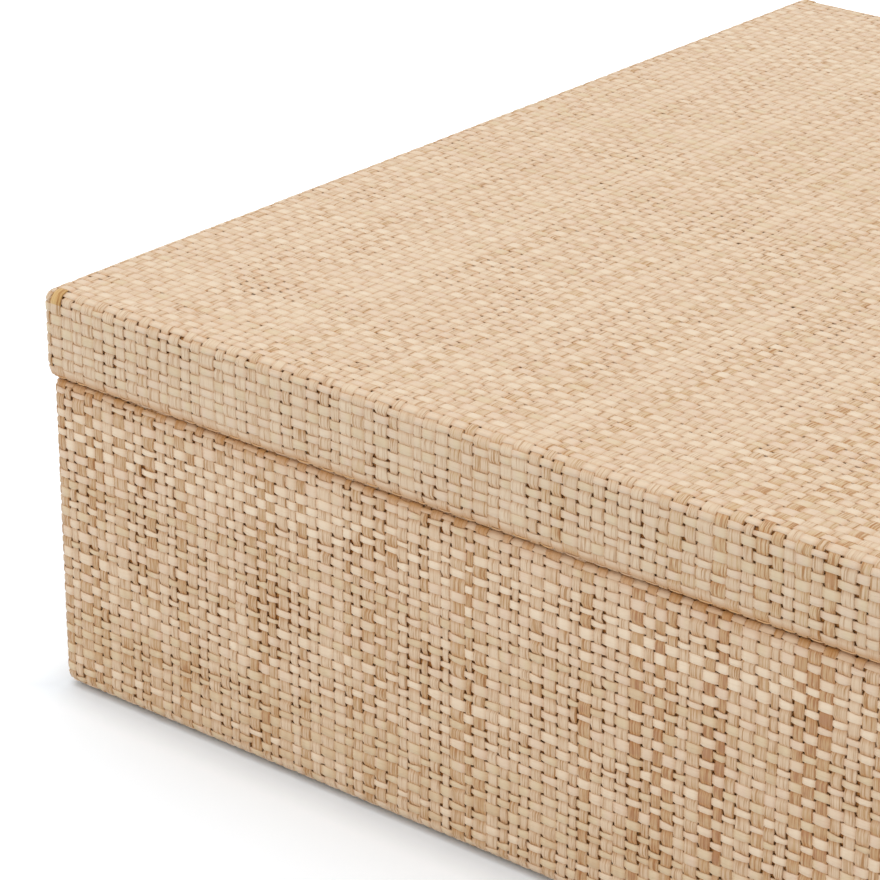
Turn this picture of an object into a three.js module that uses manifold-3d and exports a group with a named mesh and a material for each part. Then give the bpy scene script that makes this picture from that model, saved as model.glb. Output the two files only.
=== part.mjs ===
// A lidded keepsake box: a fibreboard base and a lift-off lid, both wrapped in woven raffia cloth
// and lined inside. Millimetres, +Z up. The front is -Y, and the origin is the middle of the felt
// underside.

import * as THREE from "three";
import { RoundedBoxGeometry } from "three/addons/geometries/RoundedBoxGeometry.js";
import { mergeVertices } from "three/addons/utils/BufferGeometryUtils.js";
import Module from "manifold-3d";

const wasm = await Module();
wasm.setup();

// Outside sizes, over the cloth
const lidWidth = 406;
const lidDepth = 305;
const lidHeight = 21.8;
const baseHeight = 79.5; // felt underside to the top of the rim
const lidOverhang = 1; // lid beyond the base on each side

// Boards
const wallThickness = 9;
const floorThickness = 6;
const lidPanelThickness = 6;
const boardEdgeRadius = 1.4; // eased, so that the cloth isn't cut

// Raffia cloth
const clothThickness = 1.4;
const rimTurnIn = 14; // down inside the base, from the top of the rim
const floorTurnIn = 18; // under the base, from its outside
const mitreCut = 0.5; // slit in the turned cloth at each corner
const bandJointGap = 0.4; // between the two ends of the strip round the base
const bandJointInset = 22; // from the left side, at the back

// Linings and felt
const liningThickness = 2.4; // card covered in cloth
const liningEdgeRadius = 0.7;
const feltProud = 0.5; // felt below the turned cloth
const feltCornerRadius = 6;

// Clearances
const glueLine = 0.25;
const feltMargin = 1; // felt to the edge of the turned cloth
const seamGap = 0.3; // lid rim above base rim
const collarClearance = 0.75; // collar to the cloth inside the lid
const collarHeadroom = 2.4; // collar below the lid's lining

// Facets
const edgeSteps = 5; // in a quarter turn of cloth
const boardSteps = 3; // in an eased edge of board
const liningSteps = 2;

// How far a cutting block runs past what it cuts, and how near two points are one
const past = 5;
const samePoint = 1e-3;

// Sizes that follow
const skin = glueLine + clothThickness;
const edgeRadius = boardEdgeRadius + skin;
const gluedRadius = edgeRadius - clothThickness;
const baseWidth = lidWidth - 2 * lidOverhang;
const baseDepth = lidDepth - 2 * lidOverhang;

const wallInset = skin + wallThickness; // inner face of a wall, from the outside of the base
const liningInset = wallInset + skin + glueLine; // behind it, the cloth turned in at the rim
const cavityInset = liningInset + liningThickness;
const railThickness = lidOverhang + liningInset - collarClearance - 2 * skin;
const railInset = skin + railThickness; // inner face of a rail, from the outside of the lid

const boardFoot = feltProud + skin;
const wallTop = baseHeight - skin;
const floorTop = boardFoot + floorThickness;
const lidFoot = baseHeight + seamGap;

// Heights in the lid, above its own rim
const panelTop = lidHeight - skin;
const panelFoot = panelTop - lidPanelThickness;
const lidLiningTop = panelFoot - glueLine;
const lidLiningFoot = lidLiningTop - liningThickness;
const collarTop = lidFoot + lidLiningFoot - collarHeadroom;

const raffia = new THREE.MeshStandardMaterial({ color: 0xd9bf98, roughness: 0.72, metalness: 0 });
const fibreboard = new THREE.MeshStandardMaterial({ color: 0xa9875f, roughness: 0.85, metalness: 0 });
const liningCloth = new THREE.MeshStandardMaterial({ color: 0xe6dcc8, roughness: 0.9, metalness: 0 });
const felt = new THREE.MeshStandardMaterial({ color: 0xb7a68c, roughness: 1, metalness: 0 });

// A closed solid, for cutting, from a geometry whose points may be repeated.
function solidFrom(geometry) {
  const bare = new THREE.BufferGeometry();
  bare.setAttribute("position", geometry.getAttribute("position"));
  bare.setIndex(geometry.index);
  const merged = mergeVertices(bare, samePoint);
  const corners = merged.index.array;
  const triangles = [];
  for (let i = 0; i < corners.length; i += 3) {
    const [a, b, c] = corners.slice(i, i + 3);
    if (a !== b && b !== c && c !== a) {
      triangles.push(a, b, c);
    }
  }
  const mesh = new wasm.Mesh({
    numProp: 3,
    vertProperties: new Float32Array(merged.getAttribute("position").array),
    triVerts: new Uint32Array(triangles),
  });
  return new wasm.Manifold(mesh);
}

function geometryFrom(solid) {
  const mesh = solid.getMesh();
  const geometry = new THREE.BufferGeometry();
  geometry.setAttribute("position", new THREE.BufferAttribute(mesh.vertProperties, 3));
  geometry.setIndex(new THREE.BufferAttribute(mesh.triVerts, 1));
  const faceted = geometry.toNonIndexed();
  faceted.computeVertexNormals();
  return faceted;
}

function piece(name, geometry, material) {
  const mesh = new THREE.Mesh(geometry, material);
  mesh.name = name;
  return mesh;
}

function block(lowX, highX, lowY, highY, lowZ, highZ) {
  const geometry = new THREE.BoxGeometry(highX - lowX, highY - lowY, highZ - lowZ);
  geometry.translate((lowX + highX) / 2, (lowY + highY) / 2, (lowZ + highZ) / 2);
  return solidFrom(geometry);
}

// The envelope of a glued-up box of board, with its outer edges eased.
function easedBlock(width, depth, lowZ, highZ) {
  const geometry = new RoundedBoxGeometry(width, depth, highZ - lowZ, boardSteps, boardEdgeRadius);
  geometry.translate(0, 0, (lowZ + highZ) / 2);
  return solidFrom(geometry);
}

// Four boards cut from an envelope: front and back run its full width, the sides fit between them.
function fourBoards(envelope, width, depth, thickness, lowZ, highZ) {
  const outX = width / 2 + past;
  const outY = depth / 2 + past;
  const innerX = width / 2 - thickness;
  const innerY = depth / 2 - thickness;
  const sideY = innerY - glueLine;
  return {
    front: envelope.intersect(block(-outX, outX, -outY, -innerY, lowZ, highZ)),
    back: envelope.intersect(block(-outX, outX, innerY, outY, lowZ, highZ)),
    left: envelope.intersect(block(-outX, -innerX, -sideY, sideY, lowZ, highZ)),
    right: envelope.intersect(block(innerX, outX, -sideY, sideY, lowZ, highZ)),
  };
}

// A card panel covered in lining cloth, by the middle of its foot.
function liningPanel(name, width, depth, height, x, y, z) {
  const geometry = new RoundedBoxGeometry(width, depth, height, liningSteps, liningEdgeRadius);
  const panel = piece(name, geometry, liningCloth);
  panel.position.set(x, y, z + height / 2);
  return panel;
}

// Part of a cloth profile: an arc by its centre, in degrees. A profile point is an inset from the
// outside and a height, and 180 degrees is towards the outside.
function arc(inset, height, radius, fromAngle, toAngle) {
  const points = [];
  for (let step = 0; step <= edgeSteps; step++) {
    const degrees = THREE.MathUtils.lerp(fromAngle, toAngle, step / edgeSteps);
    const angle = THREE.MathUtils.degToRad(degrees);
    points.push([inset + radius * Math.cos(angle), height + radius * Math.sin(angle)]);
  }
  return points;
}

// The plan of a box at an inset from its outside: a rectangle with what is left of the corner radius.
function planLoop(width, depth, inset) {
  const radius = Math.max(edgeRadius - inset, 0);
  const points = [];
  for (let quarter = 0; quarter < 4; quarter++) {
    const signX = quarter === 0 || quarter === 3 ? 1 : -1;
    const signY = quarter < 2 ? 1 : -1;
    const centreX = signX * (width / 2 - inset - radius);
    const centreY = signY * (depth / 2 - inset - radius);
    for (let step = 0; step <= edgeSteps; step++) {
      const angle = ((quarter + step / edgeSteps) * Math.PI) / 2;
      points.push([centreX + radius * Math.cos(angle), centreY + radius * Math.sin(angle)]);
    }
  }
  return points;
}

// Cloth round a box: the profile carried round its plan. An open profile starts and ends on the
// lid's flat top, which a fan closes; a closed one joins its last point to its first.
function clothRound(width, depth, profile, closed) {
  const positions = [];
  const triangles = [];
  for (const [inset, height] of profile) {
    for (const [x, y] of planLoop(width, depth, inset)) {
      positions.push(x, y, height);
    }
  }
  const across = positions.length / 3 / profile.length;
  const bands = closed ? profile.length : profile.length - 1;
  for (let band = 0; band < bands; band++) {
    const upper = band * across;
    const lower = ((band + 1) % profile.length) * across;
    for (let j = 0; j < across; j++) {
      const next = (j + 1) % across;
      triangles.push(lower + j, lower + next, upper + next);
      triangles.push(lower + j, upper + next, upper + j);
    }
  }
  if (!closed) {
    const outerHub = positions.length / 3;
    const gluedHub = outerHub + 1;
    const lastLoop = (profile.length - 1) * across;
    positions.push(0, 0, profile[0][1], 0, 0, profile[profile.length - 1][1]);
    for (let j = 0; j < across; j++) {
      const next = (j + 1) % across;
      triangles.push(outerHub, j, next);
      triangles.push(gluedHub, lastLoop + next, lastLoop + j);
    }
  }
  const geometry = new THREE.BufferGeometry();
  geometry.setAttribute("position", new THREE.Float32BufferAttribute(positions, 3));
  geometry.setIndex(triangles);
  return solidFrom(geometry);
}

// The cloth is slit along the diagonal at each corner, from the eased edge in, so that it turns flat.
function withMitres(cloth, width, depth, innerInset, lowZ, highZ) {
  const reach = innerInset + past - edgeRadius;
  const middle = edgeRadius + reach / 2;
  let cut = cloth;
  for (const signX of [-1, 1]) {
    for (const signY of [-1, 1]) {
      const geometry = new THREE.BoxGeometry(reach * Math.SQRT2, mitreCut, highZ - lowZ);
      geometry.rotateZ(Math.atan2(signY, signX));
      geometry.translate(signX * (width / 2 - middle), signY * (depth / 2 - middle), (lowZ + highZ) / 2);
      cut = cut.subtract(solidFrom(geometry));
    }
  }
  return cut;
}

function makeBaseCloth() {
  const foot = feltProud;
  const profile = [
    ...arc(edgeRadius, baseHeight - edgeRadius, edgeRadius, 90, 180),
    ...arc(edgeRadius, foot + edgeRadius, edgeRadius, 180, 270),
    [floorTurnIn, foot],
    [floorTurnIn, foot + clothThickness],
    ...arc(edgeRadius, foot + edgeRadius, gluedRadius, 270, 180),
    ...arc(edgeRadius, baseHeight - edgeRadius, gluedRadius, 180, 90),
    ...arc(wallInset, wallTop, glueLine, 90, 0),
    [wallInset + glueLine, baseHeight - rimTurnIn],
    [wallInset + skin, baseHeight - rimTurnIn],
    ...arc(wallInset, wallTop, skin, 0, 90),
  ];
  const band = clothRound(baseWidth, baseDepth, profile, true);
  const underMitred = withMitres(band, baseWidth, baseDepth, floorTurnIn, foot - past, boardFoot);
  const rimFoot = baseHeight - rimTurnIn - past;
  const mitred = withMitres(underMitred, baseWidth, baseDepth, wallInset + skin, rimFoot, baseHeight + past);
  const jointX = bandJointInset - baseWidth / 2;
  const reach = Math.max(floorTurnIn, wallInset + skin) + past;
  const joint = block(
    jointX - bandJointGap / 2,
    jointX + bandJointGap / 2,
    baseDepth / 2 - reach,
    baseDepth / 2 + past,
    foot - past,
    baseHeight + past,
  );
  return mitred.subtract(joint);
}

function makeLidCloth() {
  const profile = [
    ...arc(edgeRadius, lidHeight - edgeRadius, edgeRadius, 90, 180),
    ...arc(edgeRadius, edgeRadius, edgeRadius, 180, 270),
    ...arc(railInset, skin, skin, 270, 360),
    [railInset + skin, lidLiningTop],
    [railInset + glueLine, lidLiningTop],
    ...arc(railInset, skin, glueLine, 360, 270),
    ...arc(edgeRadius, edgeRadius, gluedRadius, 270, 180),
    ...arc(edgeRadius, lidHeight - edgeRadius, gluedRadius, 180, 90),
  ];
  const sheet = clothRound(lidWidth, lidDepth, profile, false);
  return withMitres(sheet, lidWidth, lidDepth, railInset + skin, -past, panelFoot);
}

function makeFeltPad() {
  const width = baseWidth - 2 * (floorTurnIn + feltMargin);
  const depth = baseDepth - 2 * (floorTurnIn + feltMargin);
  const outline = new THREE.Shape();
  const straightX = width / 2 - feltCornerRadius;
  const straightY = depth / 2 - feltCornerRadius;
  outline.absarc(straightX, straightY, feltCornerRadius, 0, Math.PI / 2);
  outline.absarc(-straightX, straightY, feltCornerRadius, Math.PI / 2, Math.PI);
  outline.absarc(-straightX, -straightY, feltCornerRadius, Math.PI, 1.5 * Math.PI);
  outline.absarc(straightX, -straightY, feltCornerRadius, 1.5 * Math.PI, 2 * Math.PI);
  outline.closePath();
  const geometry = new THREE.ExtrudeGeometry(outline, {
    depth: boardFoot - glueLine,
    bevelEnabled: false,
    curveSegments: edgeSteps,
  });
  return piece("base_felt_pad", geometry, felt);
}

function makeBase() {
  const base = new THREE.Group();
  const coreWidth = baseWidth - 2 * skin;
  const coreDepth = baseDepth - 2 * skin;
  const envelope = easedBlock(coreWidth, coreDepth, boardFoot, wallTop);
  const walls = fourBoards(envelope, coreWidth, coreDepth, wallThickness, boardFoot - past, wallTop + past);
  for (const [side, wall] of Object.entries(walls)) {
    base.add(piece("base_" + side + "_board", geometryFrom(wall), fibreboard));
  }
  const floorX = baseWidth / 2 - wallInset - glueLine;
  const floorY = baseDepth / 2 - wallInset - glueLine;
  const floor = block(-floorX, floorX, -floorY, floorY, boardFoot, floorTop);
  base.add(piece("base_floor_board", geometryFrom(floor), fibreboard));
  base.add(piece("base_raffia_wrap", geometryFrom(makeBaseCloth()), raffia));
  base.add(makeFeltPad());

  // Lined panels stand on the floor and rise past the rim as the lid's collar.
  const foot = floorTop + glueLine;
  const rise = collarTop - foot;
  const panelX = baseWidth / 2 - liningInset - liningThickness / 2;
  const panelY = baseDepth / 2 - liningInset - liningThickness / 2;
  const longRun = baseWidth - 2 * liningInset;
  const shortRun = baseDepth - 2 * cavityInset - 2 * glueLine;
  base.add(liningPanel("base_front_lining", longRun, liningThickness, rise, 0, -panelY, foot));
  base.add(liningPanel("base_back_lining", longRun, liningThickness, rise, 0, panelY, foot));
  base.add(liningPanel("base_left_lining", liningThickness, shortRun, rise, -panelX, 0, foot));
  base.add(liningPanel("base_right_lining", liningThickness, shortRun, rise, panelX, 0, foot));
  const floorRunX = baseWidth - 2 * (cavityInset + glueLine);
  const floorRunY = baseDepth - 2 * (cavityInset + glueLine);
  base.add(liningPanel("base_floor_lining", floorRunX, floorRunY, liningThickness, 0, 0, foot));
  return base;
}

// The lid stands on its own rim, and its group lifts it to the base's.
function makeLid() {
  const lid = new THREE.Group();
  const coreWidth = lidWidth - 2 * skin;
  const coreDepth = lidDepth - 2 * skin;
  const envelope = easedBlock(coreWidth, coreDepth, skin, panelTop);
  const outX = coreWidth / 2 + past;
  const outY = coreDepth / 2 + past;
  const panel = envelope.intersect(block(-outX, outX, -outY, outY, panelFoot, panelTop + past));
  lid.add(piece("lid_top_board", geometryFrom(panel), fibreboard));
  const rails = fourBoards(envelope, coreWidth, coreDepth, railThickness, -past, panelFoot - glueLine);
  for (const [side, rail] of Object.entries(rails)) {
    lid.add(piece("lid_" + side + "_rail", geometryFrom(rail), fibreboard));
  }
  lid.add(piece("lid_raffia_wrap", geometryFrom(makeLidCloth()), raffia));
  const liningX = lidWidth - 2 * (railInset + skin + glueLine);
  const liningY = lidDepth - 2 * (railInset + skin + glueLine);
  lid.add(liningPanel("lid_top_lining", liningX, liningY, liningThickness, 0, 0, lidLiningFoot));
  lid.position.z = lidFoot;
  return lid;
}

const lidBox = new THREE.Group();
lidBox.add(makeBase());
lidBox.add(makeLid());

export default lidBox;
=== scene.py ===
import math

import bmesh
import bpy
import numpy as np
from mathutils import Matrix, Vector


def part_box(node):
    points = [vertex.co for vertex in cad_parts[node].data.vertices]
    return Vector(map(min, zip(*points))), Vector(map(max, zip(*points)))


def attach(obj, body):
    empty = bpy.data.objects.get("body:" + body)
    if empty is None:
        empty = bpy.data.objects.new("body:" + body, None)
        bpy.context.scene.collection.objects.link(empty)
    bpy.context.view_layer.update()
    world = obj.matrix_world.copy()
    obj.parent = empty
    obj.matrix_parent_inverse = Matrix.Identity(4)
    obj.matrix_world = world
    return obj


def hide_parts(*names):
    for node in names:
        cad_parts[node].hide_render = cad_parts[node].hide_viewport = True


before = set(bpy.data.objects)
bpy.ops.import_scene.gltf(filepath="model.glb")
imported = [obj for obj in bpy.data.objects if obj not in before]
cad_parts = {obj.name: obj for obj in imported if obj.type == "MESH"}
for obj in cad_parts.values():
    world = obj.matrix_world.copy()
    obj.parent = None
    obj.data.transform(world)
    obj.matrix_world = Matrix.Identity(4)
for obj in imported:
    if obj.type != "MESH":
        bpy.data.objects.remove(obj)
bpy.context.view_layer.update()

mm = 0.001
scene = bpy.context.scene
print("frame loaded")


class Wire:  # a node socket that Python maths can use
    def __init__(self, tree, socket=None):
        self.tree = tree
        self.socket = socket

    def node(self, kind, settings=None, values=None, out=0):
        made = self.tree.nodes.new(kind)
        for key, setting in (settings or {}).items():
            if key == "stops":
                setStops(made.color_ramp, setting)
            else:
                setattr(made, key, setting)
        for key, value in (values or {}).items():
            if isinstance(value, Wire):
                self.tree.links.new(value.socket, made.inputs[key])
            else:
                made.inputs[key].default_value = value
        return Wire(self.tree, made.outputs[out] if made.outputs else None)

    def other(self, out):
        return Wire(self.tree, self.socket.node.outputs[out])

    def maths(self, operation, *values):
        return self.node("ShaderNodeMath", {"operation": operation}, dict(enumerate(values)))

    def __add__(self, value):
        return self.maths("ADD", self, value)

    def __radd__(self, value):
        return self.maths("ADD", value, self)

    def __sub__(self, value):
        return self.maths("SUBTRACT", self, value)

    def __rsub__(self, value):
        return self.maths("SUBTRACT", value, self)

    def __mul__(self, value):
        return self.maths("MULTIPLY", self, value)

    def __rmul__(self, value):
        return self.maths("MULTIPLY", value, self)

    def __truediv__(self, value):
        return self.maths("DIVIDE", self, value)

    def __gt__(self, value):
        return self.maths("GREATER_THAN", self, value)

    def __lt__(self, value):
        return self.maths("LESS_THAN", self, value)

    def __abs__(self):
        return self.maths("ABSOLUTE", self)

    def floor(self):
        return self.maths("FLOOR", self)

    def atLeast(self, value):
        return self.maths("MAXIMUM", self, value)

    def atMost(self, value):
        return self.maths("MINIMUM", self, value)

    def parts(self):
        split = self.node("ShaderNodeSeparateXYZ", None, {0: self})
        return split, split.other(1), split.other(2)


def setStops(ramp, stops):
    while len(ramp.elements) < len(stops):
        ramp.elements.new(1.0)
    for element, (place, colour) in zip(ramp.elements, stops):
        element.position = place
        element.color = colour


def hue(red, green, blue):  # screen values, 0 to 255, as the linear colour that a shader takes
    shares = [value / 255 for value in (red, green, blue)]
    linear = [((s + 0.055) / 1.055) ** 2.4 if s > 0.04045 else s / 12.92 for s in shares]
    return (*linear, 1.0)


# Camera, at the photograph's angle
cameraSet = {
    "place": (0.35807, -0.68011, 0.39635),
    "yaw": -39.926,
    "pitch": 23.518,
    "lens": 146.65,
    "sensor": 36.0,
    "near": 0.01,
    "far": 50.0,
}


def makeCamera():
    data = bpy.data.cameras.new("camera")
    data.lens = cameraSet["lens"]
    data.sensor_width = cameraSet["sensor"]
    data.clip_start = cameraSet["near"]
    data.clip_end = cameraSet["far"]
    camera = bpy.data.objects.new("camera", data)
    scene.collection.objects.link(camera)
    yaw = math.radians(cameraSet["yaw"])
    pitch = math.radians(cameraSet["pitch"])
    across = math.cos(pitch)
    ahead = Vector((math.sin(yaw) * across, math.cos(yaw) * across, -math.sin(pitch)))
    camera.location = cameraSet["place"]
    camera.rotation_mode = "QUATERNION"
    camera.rotation_quaternion = ahead.to_track_quat("-Z", "Y")
    scene.camera = camera


makeCamera()
print("camera set")


# Materials

def newMaterial(name):
    material = bpy.data.materials.new(name)
    material.use_nodes = True
    tree = material.node_tree
    tree.nodes.clear()
    return material, Wire(tree)


def surfaced(w, values):
    shader = w.node("ShaderNodeBsdfPrincipled", None, values)
    w.node("ShaderNodeOutputMaterial", None, {"Surface": shader})


def blended(w, factor, first, second):
    values = {0: factor, 6: first, 7: second}
    return w.node("ShaderNodeMix", {"data_type": "RGBA"}, values, 2)


def joined(w, x, y, z):
    return w.node("ShaderNodeCombineXYZ", None, {0: x, 1: y, 2: z})


def objectSpot(w):
    return w.node("ShaderNodeTexCoord", None, None, "Object")


def scaled(w, spot, scale):
    return w.node("ShaderNodeVectorMath", {"operation": "SCALE"}, {0: spot, "Scale": scale})


def noised(w, place, detail=2.0, roughness=0.5):
    values = {"Vector": place, "Scale": 1.0, "Detail": detail, "Roughness": roughness}
    return w.node("ShaderNodeTexNoise", {"noise_dimensions": "3D"}, values)


def ramped(w, value, stops):
    return w.node("ShaderNodeValToRGB", {"stops": stops}, {0: value})


def bumped(w, height, strength, distance):
    values = {"Strength": strength, "Distance": distance, "Height": height}
    return w.node("ShaderNodeBump", None, values)


def seenDirectly(w):  # by the camera, or by it in a mirror or through glass
    light = w.node("ShaderNodeLightPath")
    seen = light.other("Is Camera Ray").atLeast(light.other("Is Glossy Ray"))
    return seen.atLeast(light.other("Is Transmission Ray"))


raffiaLook = {
    "fibre": hue(160, 108, 58),
    # Painted shade: brown where strips dip under others and along their edges
    "paintedShade": hue(188, 126, 58),
    # Painted shade: golden brown on the eased edge beside the rim, in the groove of the seam
    "seamShade": hue(212, 156, 86),
    "tuckPale": hue(212, 176, 118),
    "tuckDeep": hue(188, 142, 80),
    "driftLength": 5 * mm,
    "fibreWidth": 0.36 * mm,
    "fibreLength": 9 * mm,
    "fibreStrip": 7.13,  # steps in the noise, from strip to strip
    "driftStrip": 3.71,
    "driftKind": 17.3,
    "batchRate": 0.0766,  # neighbours come from like leaves
    "batchStart": 1.27,
    "batchShare": 0.13,
    "chanceShare": 0.66,
    "driftShare": 0.9,
    "paler": 0.30,
    "lineShare": 1.6,
    "splitFrom": 0.54,
    "splitTo": 0.68,
    "splitByTone": 0.5,
    "splitEven": 0.32,
    "splitMost": 0.65,
    "splitLeast": 0.08,
    "seamShadeMost": 1.5,  # of the painted-shade value, on the eased edge beside the rim, in the groove of the seam
    # painted shade: the ramp's point for its brown, its share in the mix, and its most
    "paintedShadeFrom": 0.66,
    "paintedShadeShare": 0.5,
    "paintedShadeLimit": 0.8,
    "smooth": 0.5,
    "splitRough": 0.2,
    "bump": 0.5,
    "bumpDepth": 0.12 * mm,
}
black, white = (0, 0, 0, 1), (1, 1, 1, 1)
lidTones = {
    "weft": [(0.0, hue(227, 207, 181)), (0.35, hue(223, 200, 172)), (0.6, hue(220, 195, 169)),
             (0.8, hue(217, 195, 162)), (1.0, hue(212, 187, 154))],
    "warp": [(0.0, hue(222, 199, 170)), (0.4, hue(216, 190, 160)), (0.65, hue(211, 183, 152)),
             (0.84, hue(206, 177, 137)), (0.95, hue(198, 164, 123)), (1.0, hue(187, 144, 103))],
}
baseTones = {
    "weft": [(0.0, hue(236, 215, 188)), (0.35, hue(229, 205, 176)), (0.6, hue(224, 197, 170)),
             (0.8, hue(218, 194, 159)), (1.0, hue(209, 180, 144))],
    "warp": [(0.0, hue(223, 197, 167)), (0.35, hue(214, 185, 153)), (0.55, hue(205, 173, 139)),
             (0.72, hue(196, 160, 116)), (0.88, hue(191, 148, 107)), (1.0, hue(175, 127, 90))],
}


def makeRaffia(name, tones):
    material, w = newMaterial(name)
    strand = w.node("ShaderNodeAttribute", {"attribute_name": "strand"}, None, "Vector")
    tone = w.node("ShaderNodeAttribute", {"attribute_name": "tone"}, None, "Vector")
    across, run, paintedShade = strand.parts()
    strip, chance, kind = tone.parts()
    isWarp = kind.atMost(1.0)
    isTuck = kind > 1.5
    look = raffiaLook
    # Colour drifts along a strip, and each strip has its own
    driftSpot = joined(w, run / look["driftLength"], strip * look["driftStrip"], kind * look["driftKind"])
    drift = noised(w, driftSpot)
    batch = strip.maths("SINE", strip * look["batchRate"] + look["batchStart"]) * look["batchShare"]
    place = chance * look["chanceShare"] + drift * look["driftShare"] + batch - look["paler"]
    # Split fibres: lines along the strip, more of them on the warps
    spot = joined(w, across / look["fibreWidth"], run / look["fibreLength"], strip * look["fibreStrip"])
    lines = noised(w, spot, 2.0, 0.6)
    striped = place + (lines - 0.5) * look["lineShare"]
    plain = blended(w, isWarp, ramped(w, place, tones["weft"]), ramped(w, striped, tones["warp"]))
    folded = ramped(w, lines, [(0.4, look["tuckPale"]), (0.6, look["tuckDeep"])])
    plain = blended(w, isTuck, plain, folded)
    split = ramped(w, lines, [(look["splitFrom"], black), (look["splitTo"], white)])
    byTone = (place * look["splitByTone"] + look["splitEven"]).atMost(look["splitMost"])
    depth = isWarp * byTone + look["splitLeast"]
    fibred = blended(w, split * depth, plain, look["fibre"])
    # Painted shade: deeper where a strip dips under another and along its edges, and golden brown on the
    # eased edge beside the rim, in the groove of the seam
    shadeTone = ramped(w, paintedShade / look["seamShadeMost"], [(look["paintedShadeFrom"], look["paintedShade"]), (1.0, look["seamShade"])])
    shadePainted = blended(w, (paintedShade * look["paintedShadeShare"]).atMost(look["paintedShadeLimit"]), fibred, shadeTone)
    surfaced(w, {
        "Base Color": shadePainted,
        "Roughness": look["smooth"] + split * look["splitRough"],
        "IOR": 1.42,
        "Normal": bumped(w, lines * -1.0, look["bump"], look["bumpDepth"]),
    })
    return material


backingLook = {"dark": hue(164, 100, 40), "pale": hue(188, 128, 62), "grain": 900.0}


def makeBackingMaterial():
    material, w = newMaterial("clothBacking")
    grain = noised(w, scaled(w, objectSpot(w), backingLook["grain"]), 3.0)
    colour = ramped(w, grain, [(0.3, backingLook["dark"]), (0.7, backingLook["pale"])])
    surfaced(w, {"Base Color": colour, "Roughness": 0.85, "Normal": bumped(w, grain, 0.3, 0.1 * mm)})
    return material


lidRaffia = makeRaffia("lidRaffia", lidTones)
baseRaffia = makeRaffia("baseRaffia", baseTones)
backing = makeBackingMaterial()
print("raffia materials made")


# Paths that the cloth follows: a plan round the box, and a profile of outward place and height

closeness = {  # lengths below which points count as one, or a strip as cut off
    "samePoint": 1e-8,
    "guard": 1e-5,
    "held": 1e-7,
    "merged": 3e-7,
    "sliver": 5e-6,
    "welded": 1e-6,
}


def arcPoints(centre, radius, fromDegrees, toDegrees, steps=8, height=None):
    tall = height or radius
    points = []
    for step in range(steps + 1):
        angle = math.radians(fromDegrees + (toDegrees - fromDegrees) * step / steps)
        points.append((centre[0] + radius * math.cos(angle), centre[1] + tall * math.sin(angle)))
    return points


def tracedPath(stretches):
    # Joins stretches of points, and gives the length along the path at the end of each
    points = [stretches[0][0]]
    marks = []
    length = 0.0
    for stretch in stretches:
        for point in stretch:
            step = math.dist(points[-1], point)
            if step > closeness["samePoint"]:
                points.append(point)
                length += step
        marks.append(length)
    return points, marks


def guarded(points):
    # A point just inside each end of a long straight keeps its tangent straight
    kept = [points[0]]
    guard = closeness["guard"]
    for start, end in zip(points, points[1:]):
        length = math.dist(start, end)
        if length > mm:
            for share in (guard / length, 1 - guard / length):
                kept.append(tuple(a + (b - a) * share for a, b in zip(start, end)))
        kept.append(end)
    return kept


def pathObject(name, points, upright):
    curve = bpy.data.curves.new(name, "CURVE")
    curve.dimensions = "3D"
    spline = curve.splines.new("POLY")
    stops = guarded(points)
    spline.points.add(len(stops) - 1)
    for point, (first, second) in zip(spline.points, stops):
        point.co = (first, 0.0, second, 1.0) if upright else (first, second, 0.0, 1.0)
    path = bpy.data.objects.new(name, curve)
    scene.collection.objects.link(path)
    return path


clothSet = {
    "edgeRadius": 3.05 * mm,
    "rimRadius": 1.65 * mm,
    "lidRimEase": 4.0 * mm,  # height over which the cloth eases in to the rim
    "baseRimEase": 2.6 * mm,
    "lidTurnInset": 12.8 * mm,
    "baseTurnInset": 12.3 * mm,
    "lidTurnIn": 13.9 * mm,
    "baseTurnIn": 14.0 * mm,
    "baseTurnUnder": 18.0 * mm,
    "turnSlack": 0.4 * mm,  # past the turned cloth, where strips need no diagonal
    "mitreGap": 0.25 * mm,
    "jointX": -180.0 * mm,  # the ends of the strip round the base meet here, at the back
    "jointGap": 0.1 * mm,
}
edge = clothSet["edgeRadius"]
rim = clothSet["rimRadius"]
mitreGap = clothSet["mitreGap"]
lidLow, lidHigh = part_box("lid_raffia_wrap")
baseLow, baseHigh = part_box("base_raffia_wrap")
lidX, lidY = lidHigh.x, lidHigh.y
baseX, baseY = baseHigh.x, baseHigh.y


def lidSideProfile():
    # From the end of the turned-in cloth, round the rim and up to the flat of the top
    low, high = lidLow.z, lidHigh.z
    inset, ease = clothSet["lidTurnInset"], clothSet["lidRimEase"]
    return [
        [(-inset, low + clothSet["lidTurnIn"]), (-inset, low + rim)],
        arcPoints((rim - inset, low + rim), rim, 180, 270),
        [(rim - inset, low), (-rim, low)],
        arcPoints((-rim, low + ease), rim, 270, 360, 8, ease),
        [(0.0, low + ease), (0.0, high - edge)],
        arcPoints((-edge, high - edge), edge, 0, 90),
    ]


def lidCrossProfile(half):
    side = lidSideProfile()
    back = [[(-2 * half - a, z) for a, z in reversed(stretch)] for stretch in reversed(side)]
    top = [(-edge, lidHigh.z), (edge - 2 * half, lidHigh.z)]
    return tracedPath(side + [top] + back)


def baseProfileStretches():
    low, high = baseLow.z, baseHigh.z
    inset, ease = clothSet["baseTurnInset"], clothSet["baseRimEase"]
    return [
        [(-clothSet["baseTurnUnder"], low), (-edge, low)],
        arcPoints((-edge, low + edge), edge, 270, 360),
        [(0.0, low + edge), (0.0, high - ease)],
        arcPoints((-rim, high - ease), rim, 0, 90, 8, ease),
        [(-rim, high), (rim - inset, high)],
        arcPoints((rim - inset, high - rim), rim, 90, 180),
        [(-inset, high - rim), (-inset, high - clothSet["baseTurnIn"])],
    ]


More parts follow.
